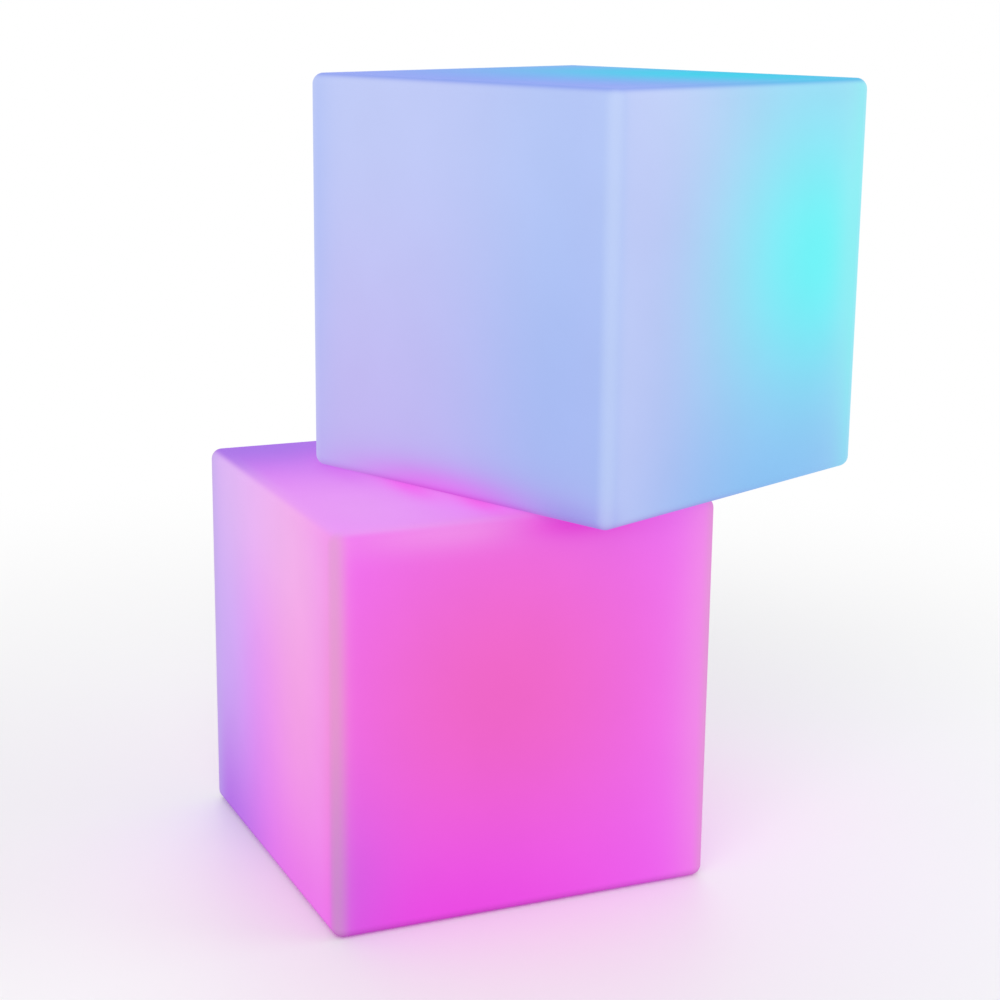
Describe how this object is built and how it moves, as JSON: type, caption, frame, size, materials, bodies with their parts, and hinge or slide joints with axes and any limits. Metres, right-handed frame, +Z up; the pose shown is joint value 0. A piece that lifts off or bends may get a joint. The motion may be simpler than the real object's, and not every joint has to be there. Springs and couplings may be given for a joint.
{
  "type": "cube light",
  "caption": "Cordless glowing polyethylene cube lights stacked askew; each has a screwed hatch underneath with a push button and a flap over its charging socket.",
  "frame": {"origin": "centre of the lower cube's underside, on the surface that it stands on", "axes": "+Z up; X and Y square to the lower cube's sides; the upper cube is shifted along +X and turned about +Z"},
  "size_m": [0.5993, 0.5186, 0.8],
  "materials": {
    "lower_roto_polyethylene": "satin",
    "upper_roto_polyethylene": "satin",
    "brass_insert": "turned",
    "hatch_abs": "fine moulded grain",
    "silicone_seal": "matte",
    "stainless_screw": "satin",
    "button_silicone": "matte",
    "switch_nylon": "moulded",
    "socket_nylon": "moulded",
    "flap_silicone": "matte",
    "clear_acrylic": "polished",
    "circuit_board": "solder mask",
    "board_component": "moulded",
    "cradle_abs": "moulded",
    "cell_sleeve": "heat-shrunk sleeve",
    "lead_pvc": "extruded",
    "cast_foot": "die cast",
    "drawn_aluminium": "mill finish",
    "lamp_board": "white solder mask",
    "lamp_led": "clear encapsulant",
    "frosted_polycarbonate": "frosted"
  },
  "bodies": {
    "lower_light": {"lower_shell": "lower_roto_polyethylene", "lower_inserts": "brass_insert", "lower_hatch": "hatch_abs", "lower_hatch_seal": "silicone_seal", "lower_hatch_screws": "stainless_screw", "lower_power_switch": "switch_nylon", "lower_charge_socket": "socket_nylon", "lower_flap_pin": "stainless_screw", "lower_indicator_lens": "clear_acrylic", "lower_control_board": "circuit_board", "lower_board_parts": "board_component", "lower_board_screws": "stainless_screw", "lower_remote_receiver": "board_component", "lower_battery_cradle": "cradle_abs", "lower_battery_cells": "cell_sleeve", "lower_cradle_cap": "cradle_abs", "lower_cradle_rods": "stainless_screw", "lower_battery_lead": "lead_pvc", "lower_post_foot": "cast_foot", "lower_foot_screws": "stainless_screw", "lower_lamp_post": "drawn_aluminium", "lower_lamp_boards": "lamp_board", "lower_lamp_leds": "lamp_led", "lower_lamp_dome": "frosted_polycarbonate", "lower_dome_collar": "cradle_abs", "lower_lamp_lead": "lead_pvc"},
    "lower_button": {"lower_power_button": "button_silicone", "lower_switch_plunger": "switch_nylon"},
    "lower_flap": {"lower_charge_flap": "flap_silicone"},
    "upper_light": {"upper_shell": "upper_roto_polyethylene", "upper_inserts": "brass_insert", "upper_hatch": "hatch_abs", "upper_hatch_seal": "silicone_seal", "upper_hatch_screws": "stainless_screw", "upper_power_switch": "switch_nylon", "upper_charge_socket": "socket_nylon", "upper_flap_pin": "stainless_screw", "upper_indicator_lens": "clear_acrylic", "upper_control_board": "circuit_board", "upper_board_parts": "board_component", "upper_board_screws": "stainless_screw", "upper_remote_receiver": "board_component", "upper_battery_cradle": "cradle_abs", "upper_battery_cells": "cell_sleeve", "upper_cradle_cap": "cradle_abs", "upper_cradle_rods": "stainless_screw", "upper_battery_lead": "lead_pvc", "upper_post_foot": "cast_foot", "upper_foot_screws": "stainless_screw", "upper_lamp_post": "drawn_aluminium", "upper_lamp_boards": "lamp_board", "upper_lamp_leds": "lamp_led", "upper_lamp_dome": "frosted_polycarbonate", "upper_dome_collar": "cradle_abs", "upper_lamp_lead": "lead_pvc"},
    "upper_button": {"upper_power_button": "button_silicone", "upper_switch_plunger": "switch_nylon"},
    "upper_flap": {"upper_charge_flap": "flap_silicone"}
  },
  "joints": [
    {"name": "lower_button_press", "type": "slide", "parent": "lower_light", "child": "lower_button", "axis": [0, 0, 1], "range_m": [0, 0.0015], "stiffness_N_per_m": 900, "springref_m": -0.001},
    {"name": "lower_flap_hinge", "type": "hinge", "parent": "lower_light", "child": "lower_flap", "pos_m": [0.039, -0.034, 0.0232], "axis": [0, -1, 0], "range_deg": [0, 100]},
    {"name": "upper_lift", "type": "slide", "parent": "lower_light", "child": "upper_light", "axis": [0, 0, 1], "range_m": [0, 0.12]},
    {"name": "upper_button_press", "type": "slide", "parent": "upper_light", "child": "upper_button", "axis": [0, 0, 1], "range_m": [0, 0.0015], "stiffness_N_per_m": 900, "springref_m": -0.001},
    {"name": "upper_flap_hinge", "type": "hinge", "parent": "upper_light", "child": "upper_flap", "pos_m": [0.18927, -0.0368, 0.4232], "axis": [0.3955, -0.9184, 0], "range_deg": [0, 100]}
  ]
}
